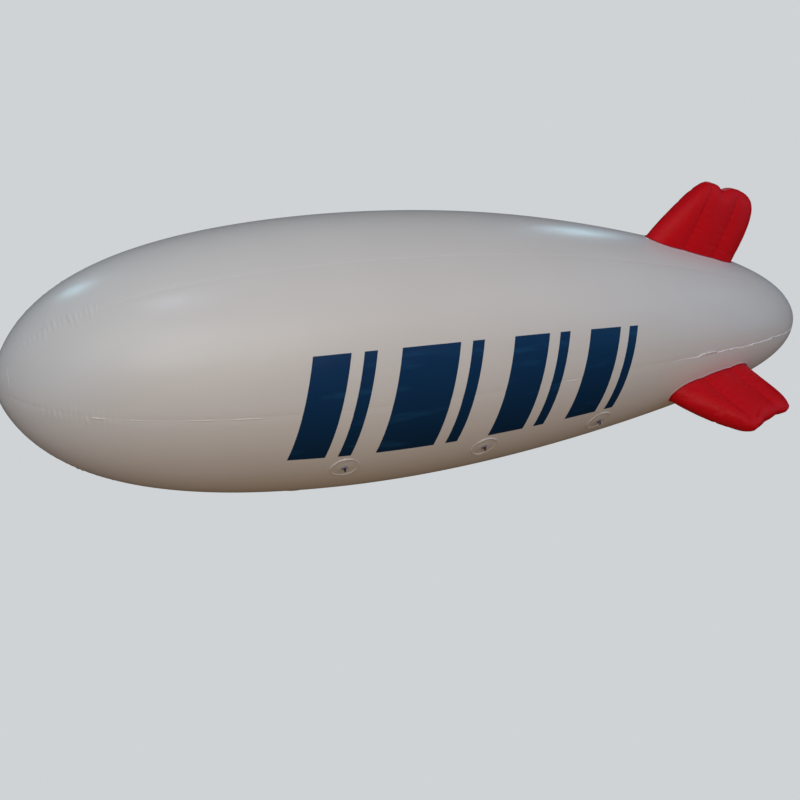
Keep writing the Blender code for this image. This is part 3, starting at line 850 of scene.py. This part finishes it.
lobes = []
for fin_number, (fin, angle, lean, pull, notch) in enumerate(FINS):
    for lobe, lobe_name in enumerate(FIN_LOBES):
        node = f"{fin}_{lobe_name}"
        seed = FIN_SEED * fin_number + LOBE_SEED * lobe
        mesh, held = lobe_mesh(node, fin_rails(pull), angle, lean, lobe, notch, seed)
        piece = new_piece("cloth_" + node, mesh, cloth_finish, "fin_cloth", node)
        lobes.append((piece, held))
blow_up(lobes)
for (piece, _), (fin, angle, *_) in zip(lobes, (fin for fin in FINS for _ in FIN_LOBES)):
    press_creases(piece, angle, CREASE_SHIFTS[fin])

# Root hems: a folded strip of the same cloth round the foot of each fin, darker red as painted
# shade at the fin's foot, and the strip of clear film outside it that is welded flat to the hull,
# coloured pink as a painted reflection of the red fin's light.
HEM_PROFILE = (  # margin out from the fin's wall, height over the hull
    (-0.0010, 0.0052), (0.0008, 0.0060), (0.0026, 0.0056), (0.0040, 0.0042), (0.0048, 0.0024),
    (0.0050, -0.0010), (0.0045, -0.0030), (-0.0010, -0.0030),
)
STRIP_PROFILE = (
    (0.0052, 0.0016), (0.0070, 0.0014), (0.0105, 0.0012), (0.0118, 0.0008), (0.0122, -0.0008),
    (0.0090, -0.0014), (0.0052, -0.0014),
)
ROOT_POINTS, ROOT_SIDES = 120, 360
HEM_RIPPLE, HEM_RIPPLE_POINTS = 0.10, 9
# Painted shade and reflection: the hem's dark red stands for shade at the fin's foot, the strip's
# pink for red light thrown back by the fin.
HEM_PAINTED_SHADE_COLOUR, STRIP_PAINTED_GLOW_COLOUR = (0.38, 0.001, 0.010), (0.80, 0.66, 0.70)
hem_shade_finish = Finish("fin_hem", HEM_PAINTED_SHADE_COLOUR, roughness=0.40)
hem_shade_finish.bump(hem_shade_finish.noise(scale=160.0), distance=0.0010, strength=0.4)
strip_glow_finish = Finish("fin_strip_painted_glow", STRIP_PAINTED_GLOW_COLOUR, roughness=0.24)
strip_glow_finish.bump(strip_glow_finish.noise(scale=240.0, detail=2.0), distance=0.0008, strength=0.4)


def root_loop(rails):
    """The outline of a fin's foot: distances from the nose and across the fin, evenly spaced."""
    side = []
    for lobe in (FRONT, MIDDLE, REAR):
        first, last = FIN_EDGE_CUT * (lobe == FRONT), 1 - FIN_EDGE_CUT * (lobe == REAR)
        across = np.linspace(first, last, ROOT_POINTS)
        from_nose, _, half = fin_place(rails, lobe, across, root_share(rails, lobe, across))
        side.append(np.stack([from_nose, half], axis=-1)[0 if lobe == FRONT else 1:])
    side = np.concatenate(side)
    loop = np.concatenate([side, side[::-1] * (1, -1)])
    closed = np.concatenate([loop, loop[:1]])
    length = np.concatenate([[0], np.cumsum(np.hypot(*np.diff(closed, axis=0).T))])
    even = np.linspace(0, length[-1], ROOT_SIDES, endpoint=False)
    return np.stack([np.interp(even, length, closed[:, i]) for i in range(2)], axis=-1)


def foot_strip(name, loop, angle, profile):
    """A strip round a fin's foot: margins and heights carried along its outline."""
    run = np.roll(loop, -2, axis=0) - np.roll(loop, 2, axis=0)
    run /= np.hypot(*run.T)[:, None]
    outward = np.stack([-run[:, 1], run[:, 0]], axis=-1)
    ripple = 1 + HEM_RIPPLE * np.sin(np.arange(len(loop)) * 2 * np.pi / HEM_RIPPLE_POINTS)
    rows = []
    for margin, lift in profile:
        from_nose, across = (loop + outward * margin).T
        radius = hull_radius(from_nose / HULL_LENGTH) + lift * (ripple if lift > 0 else 1)
        rows.append(fin_points(angle, 0.0, from_nose, np.sqrt(radius ** 2 - across ** 2),
                               np.zeros(len(loop)), across))
    return ring_mesh(name, np.array(rows))


for fin, angle, _, pull, _ in FINS:
    node = fin + "_root_band"
    loop = root_loop(fin_rails(pull))
    new_piece("hem_" + node, foot_strip(node, loop, angle, HEM_PROFILE),
              hem_shade_finish, "fin_hem", node)
    new_piece("strip_" + node, foot_strip("strip_" + node, loop, angle, STRIP_PROFILE),
              strip_glow_finish, "fin_hem")

# Coloured band: a row of plain slanted bars on both sides, cut from thin navy film of one height
# and welded flat to the hull over its side seams.
BAND_TOP, BAND_BOTTOM = 23.0, -22.0
BAND_LIFT, BAND_SUNK = 0.0007, 0.0004
BAND_GRID = (22, 71)
OVER_WELD_WIDTH, OVER_WELD_SHARE = 0.007, 1.4
BARS = (  # share of the length at its foot, width, and how far its top leans back
    (0.272, 0.040, 0.024),
    (0.326, 0.014, 0.024),
    (0.368, 0.066, 0.023),
    (0.448, 0.014, 0.023),
    (0.500, 0.044, 0.022),
    (0.558, 0.013, 0.022),
    (0.600, 0.042, 0.021),
    (0.655, 0.012, 0.021),
)
# Painted light and shade: the bars' navy goes lighter from foot to top. Painted highlight: paler
# streaks along the hull, over the film's own mottling.
NAVY, NAVY_SHEEN_STREAK = (0.004, 0.034, 0.100), (0.012, 0.085, 0.210)
NAVY_SHADE_AND_LIGHT = ((0.0035, 0.028, 0.078), (0.0045, 0.042, 0.128))  # at the foot and at the top
band_finish = Finish("band_navy", NAVY, roughness=0.28)
band_finish.set("Specular IOR Level", 0.22)
# Painted light and shade: darker towards the foot of a bar, lighter towards its top.
band_painted_light = band_finish.mix(
    band_finish.ramp(band_finish.coordinate("Z"), -0.30, 0.30), *NAVY_SHADE_AND_LIGHT)
# Painted highlight streaks along the hull, partly the film's own mottling.
sheen_streaks = band_finish.noise(scale=16.0, detail=4.0, vector=band_finish.place(0.12, 1, 1))
band_finish.set("Base Color", band_finish.mix(
    0.8 * band_finish.ramp(sheen_streaks, 0.58, 0.82), band_painted_light, NAVY_SHEEN_STREAK))
band_finish.set("Roughness", 0.24 + 0.16 * band_finish.noise(scale=11.0))
# A bar follows the film's relief, and climbs over the side weld as a bell curve.
for side in ("left", "right"):
    for number, (start, width, lean) in enumerate(BARS):
        across, up = np.meshgrid(*(np.linspace(0, 1, count) for count in BAND_GRID), indexing="ij")
        share = start + width * across + lean * up
        angle = BAND_BOTTOM + (BAND_TOP - BAND_BOTTOM) * up
        off = hull_radius(share) * np.radians(angle)
        over_weld = WELD_HEIGHT * np.exp(-(off / OVER_WELD_WIDTH) ** 2) * OVER_WELD_SHARE
        turned = angle if side == "left" else 180 - angle
        lift = hull_relief(share, turned) + over_weld
        name = f"band_{side}_{number + 1}"
        bar = sheet_mesh(name, hull_surface(share, turned, lift + BAND_LIFT),
                         hull_surface(share, turned, lift - BAND_SUNK))
        new_piece(name, bar, band_finish, "hull_film")

# Tether patches: round discs of thicker clear film, pressed to the hull by a ring weld that
# catches the light along its rim.
PATCHES = [  # side and row, distance from nose, angle round the hull
    (f"{side}_{row}", from_nose, middle + to_keel * off)
    for side, middle, to_keel in (("left", 330.0, -1.0), ("right", 210.0, 1.0))
    for row, from_nose, off in (("front", 1.686, 0.0), ("middle", 2.508, 0.0), ("rear", 3.284, 1.6))
]
PATCH_PROFILE = (  # radius, height over the hull
    (0.0, 0.0026), (0.016, 0.0026), (0.026, 0.0022), (0.034, 0.0012), (0.060, 0.0012),
    (0.0690, 0.0010), (0.0712, 0.0018), (0.0728, 0.0036), (0.0750, 0.0048), (0.0775, 0.0044),
    (0.0794, 0.0026), (0.0804, 0.0008), (0.0820, 0.0003), (0.0820, -0.0008),
)
RIM_FROM, RIM_UNEVEN = 0.065, 0.50
RIM_WAVES = ((0.6, 2, 2), (0.4, 5, 4))  # share, waves round the rim, shift for each metre
DISC_SIDES, DISC_INSET = 120, 0.9
PATCH_COLOUR = (0.69, 0.685, 0.675)
patch_finish = Finish("patch_film", PATCH_COLOUR, roughness=0.17)
patch_finish.bump(patch_finish.noise(scale=60.0), distance=0.0012, strength=0.35)


def polar_disc(name, from_nose, angle, profile, uneven=0.0):
    """A closed disc on the hull from radii and heights, laid out on its curved surface.

    Its rim is higher and lower in turn, by a share of its height, as two waves round it."""
    share = from_nose / HULL_LENGTH
    stretch = math.hypot(1, hull_slope(share))
    turn = np.arange(DISC_SIDES) * 2 * np.pi / DISC_SIDES
    wave = 1 + uneven * sum(part * np.sin(count * turn + shift * from_nose)
                            for part, count, shift in RIM_WAVES)
    rings = []
    for radius, height in profile[1:]:
        there = share + radius * np.cos(turn) / stretch / HULL_LENGTH
        around = angle + np.degrees(radius * np.sin(turn) / hull_radius(there))
        rings.append(hull_surface(there, around, height * (wave if radius > RIM_FROM else 1)))
    floor_ring = rings[-1] + (rings[-1].mean(axis=0) - rings[-1]) * DISC_INSET
    return ring_mesh(name, np.array(rings + [floor_ring]), closed=False)


for place, from_nose, angle in PATCHES:
    node = "tether_patch_" + place
    disc = polar_disc(node, from_nose, angle, PATCH_PROFILE, RIM_UNEVEN)
    new_piece("film_" + node, disc, patch_finish, "patch_film", node)

# Tether eyes: one plastic moulding each, a pale round foot with a dark loop that stands across
# the hull, glued to the middle of its patch.
EYE_FOOT = (  # radius, height over the hull
    (0.0185, 0.0010), (0.0185, 0.0022), (0.0160, 0.0034), (0.0150, 0.0046), (0.0146, 0.0066),
    (0.0132, 0.0078), (0.0110, 0.0080), (0.0060, 0.0082), (0.0010, 0.0082),
)
EYE_SIDES, LOOP_STEPS, LOOP_SIDES = 64, 72, 24
LOOP_RADIUS, LOOP_WIRE, LOOP_CENTRE = 0.009, 0.0026, 0.016
LOOP_SWELL, LOOP_SWELL_REACH = 0.35, 0.5
FRAME_STEP, FRAME_TURN = 0.001, 1
LOOP_COLOUR, FOOT_COLOUR = (0.020, 0.020, 0.060), (0.30, 0.285, 0.37)
eye_finish = Finish("eye_plastic", LOOP_COLOUR, roughness=0.22)
eye_finish.set("Roughness", 0.18 + 0.14 * eye_finish.noise(scale=220.0))
foot_finish = Finish("eye_foot", FOOT_COLOUR, roughness=0.25)


def hull_frame(from_nose, angle):
    """Axes along the hull, across it and outwards, taken from short steps, and their place."""
    share = from_nose / HULL_LENGTH
    here = hull_surface(share, angle)
    along = hull_surface(share + FRAME_STEP, angle) - hull_surface(share - FRAME_STEP, angle)
    along /= np.linalg.norm(along)
    around = hull_surface(share, angle + FRAME_TURN) - hull_surface(share, angle - FRAME_TURN)
    normal = np.cross(around, along)
    normal /= np.linalg.norm(normal)
    if np.dot(normal, hull_surface(share, angle, 1.0) - here) < 0:
        normal = -normal
    return np.array((along, np.cross(normal, along), normal)), here


def turned_rings(profile, sides, scallop=0.0, waves=0):
    """Rings of a turned piece on its own Z axis: a row with a third value gets cosine scallops."""
    turn = np.arange(sides) * 2 * np.pi / sides
    rings = []
    for row in profile:
        wave = 1 + (scallop * (np.cos(turn * waves) - 1) if len(row) > 2 else 0)
        rings.append(np.stack([row[0] * wave * np.cos(turn), row[0] * wave * np.sin(turn),
                               np.full(sides, row[1])], axis=-1))
    return np.array(rings)


# The loop is a ring of round wire, which swells at its lowest point as a bell curve.
for place, from_nose, angle in PATCHES:
    node = "tether_eye_" + place
    axes, here = hull_frame(from_nose, angle)
    foot = turned_rings(EYE_FOOT, EYE_SIDES)
    sweep, section = np.meshgrid(*(
        np.arange(count) * 2 * np.pi / count for count in (LOOP_STEPS, LOOP_SIDES)), indexing="ij")
    thick = LOOP_WIRE * (1 + LOOP_SWELL * np.exp(-((np.sin(sweep) + 1) / LOOP_SWELL_REACH) ** 2))
    reach = LOOP_RADIUS + thick * np.cos(section)
    loop = np.stack([thick * np.sin(section), reach * np.cos(sweep),
                     LOOP_CENTRE + reach * np.sin(sweep)], axis=-1)
    new_piece("moulding_" + node, ring_mesh(node, foot @ axes + here, closed=False),
              foot_finish, "eye_plastic", node)
    new_piece("loop_" + node, ring_mesh(node, loop @ axes + here), eye_finish, "eye_plastic")

# Inflation valve, under the hull: a film flange, a threaded collar and a screw cap with a
# scalloped grip. It is out of sight in the photo, and has the usual form.
VALVE_PLACE = (3.100, 270.0)
FLANGE_PROFILE = (  # radius, height over the hull
    (0.0, 0.0030), (0.030, 0.0030), (0.052, 0.0028), (0.0560, 0.0022), (0.0600, 0.0006),
    (0.0600, -0.0008),
)
COLLAR_PROFILE = (
    (0.0335, 0.0033), (0.0340, 0.0040), (0.0340, 0.0075), (0.0318, 0.0082),
    (0.0318, 0.0100), (0.0335, 0.0108), (0.0335, 0.0130), (0.0318, 0.0138),
    (0.0318, 0.0165), (0.0306, 0.0188), (0.0280, 0.0190), (0.0010, 0.0190),
)
CAP_PROFILE = (  # the same, and 1 where the grip is scalloped
    (0.0262, 0.0193), (0.0268, 0.0200, 1), (0.0270, 0.0210, 1), (0.0270, 0.0285, 1),
    (0.0262, 0.0302, 1), (0.0245, 0.0310), (0.0180, 0.0310), (0.0172, 0.0303),
    (0.0010, 0.0300),
)
VALVE_SIDES, GRIP_DEPTH, GRIP_COUNT = 192, 0.035, 16
VALVE_COLOUR = (0.58, 0.58, 0.57)
valve_finish = Finish("valve_plastic", VALVE_COLOUR, roughness=0.40)
valve_finish.bump(valve_finish.noise(scale=300.0), distance=0.0004, strength=0.3)
axes, here = hull_frame(*VALVE_PLACE)
new_piece("film_valve_flange", polar_disc("valve_flange", *VALVE_PLACE, FLANGE_PROFILE),
          patch_finish, "patch_film", "valve_flange")
for node, profile in (("valve_collar", COLLAR_PROFILE), ("valve_cap", CAP_PROFILE)):
    rings = turned_rings(profile, VALVE_SIDES, GRIP_DEPTH, GRIP_COUNT) @ axes + here
    new_piece("plastic_" + node, ring_mesh(node, rings, closed=False), valve_finish,
              "valve_plastic", node)
